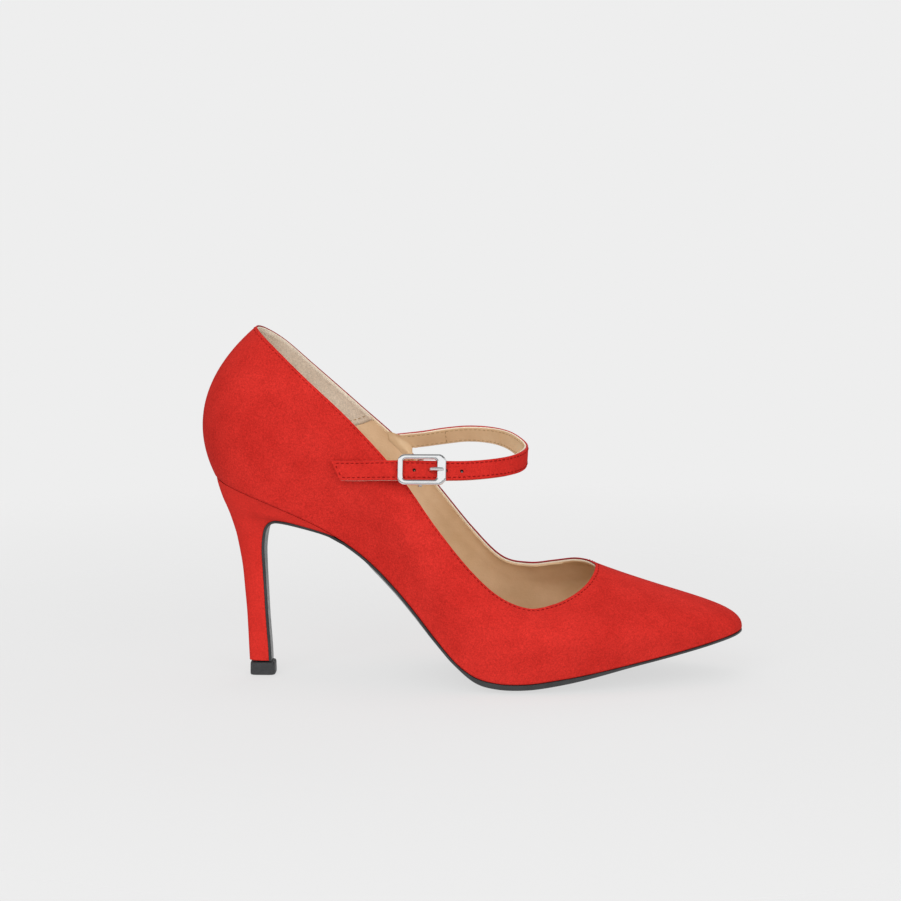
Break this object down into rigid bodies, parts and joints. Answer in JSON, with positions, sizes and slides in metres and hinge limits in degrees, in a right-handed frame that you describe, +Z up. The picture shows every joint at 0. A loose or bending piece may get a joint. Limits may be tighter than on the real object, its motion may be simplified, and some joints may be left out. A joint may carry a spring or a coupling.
{
  "type": "high heel pump",
  "caption": "Right-foot stiletto pump in suede with a pointed toe, an instep strap from the inner quarter and a framed buckle on the outer side.",
  "frame": {"origin": "centre of the heel tip's flat bottom, on the ground plane", "axes": "+X towards the toe, +Y towards the inner side of a right foot, +Z up; the buckle is on the -Y side"},
  "size_m": [0.2333, 0.08, 0.1522],
  "materials": {
    "upper_suede": "suede nap, matte",
    "heel_suede": "fine suede, matte",
    "strap_suede": "suede nap, matte",
    "lining_leather": "smooth, semi-matte",
    "strap_lining_leather": "smooth, semi-matte",
    "heel_grip_lining": "brushed, matte",
    "stiffener_board": "impregnated non-woven",
    "white_textile": "woven",
    "insole_fibreboard": "pressed fibreboard",
    "spring_steel": "rolled",
    "zinc_steel": "zinc plated",
    "cork_filler": "granulated cork",
    "latex_foam": "open-cell foam",
    "sock_leather": "smooth, semi-matte",
    "sole_leather": "edge-inked, satin",
    "heel_plastic": "moulded",
    "top_piece_rubber": "moulded, matte",
    "buckle_metal": "polished nickel"
  },
  "bodies": {
    "shoe": {"upper": "upper_suede", "vamp_lining": "lining_leather", "heel_lining": "heel_grip_lining", "toe_puff": "stiffener_board", "heel_counter": "stiffener_board", "upper_backers": "white_textile", "topline_tape": "white_textile", "insole_board": "insole_fibreboard", "steel_shank": "spring_steel", "shank_rivets": "zinc_steel", "bottom_filler": "cork_filler", "sock_cushion": "latex_foam", "sock_lining": "sock_leather", "outsole": "sole_leather", "heel_block": "heel_plastic", "heel_cover": "heel_suede", "heel_dowel": "zinc_steel", "heel_screw": "zinc_steel", "heel_nails": "zinc_steel", "top_piece": "top_piece_rubber", "top_piece_pin": "zinc_steel", "buckle_tab": "strap_suede"},
    "strap": {"strap_face": "strap_suede", "strap_tape": "white_textile", "strap_back": "strap_lining_leather"},
    "buckle": {"buckle_frame": "buckle_metal", "buckle_bar": "buckle_metal"},
    "prong": {"buckle_prong": "buckle_metal"}
  },
  "joints": [
    {"name": "strap_swing", "type": "hinge", "parent": "shoe", "child": "strap", "pos_m": [0.0595, 0.0265, 0.0994], "axis": [0, 0, 1], "range_deg": [0, 110], "deforming": ["strap_face", "strap_tape", "strap_back"]},
    {"name": "buckle_tilt", "type": "hinge", "parent": "shoe", "child": "buckle", "pos_m": [0.0693, -0.02838, 0.0933], "axis": [0, 0.3502, 0.9367], "range_deg": [-8, 60]},
    {"name": "prong_lift", "type": "hinge", "parent": "buckle", "child": "prong", "pos_m": [0.0693, -0.02838, 0.0933], "axis": [0, -0.3502, -0.9367], "range_deg": [0, 75]}
  ],
  "couplings": [
    {"joint": "buckle_tilt", "follows": "strap_swing", "ratio": 0.25},
    {"joint": "prong_lift", "follows": "strap_swing", "ratio": 0.6}
  ]
}
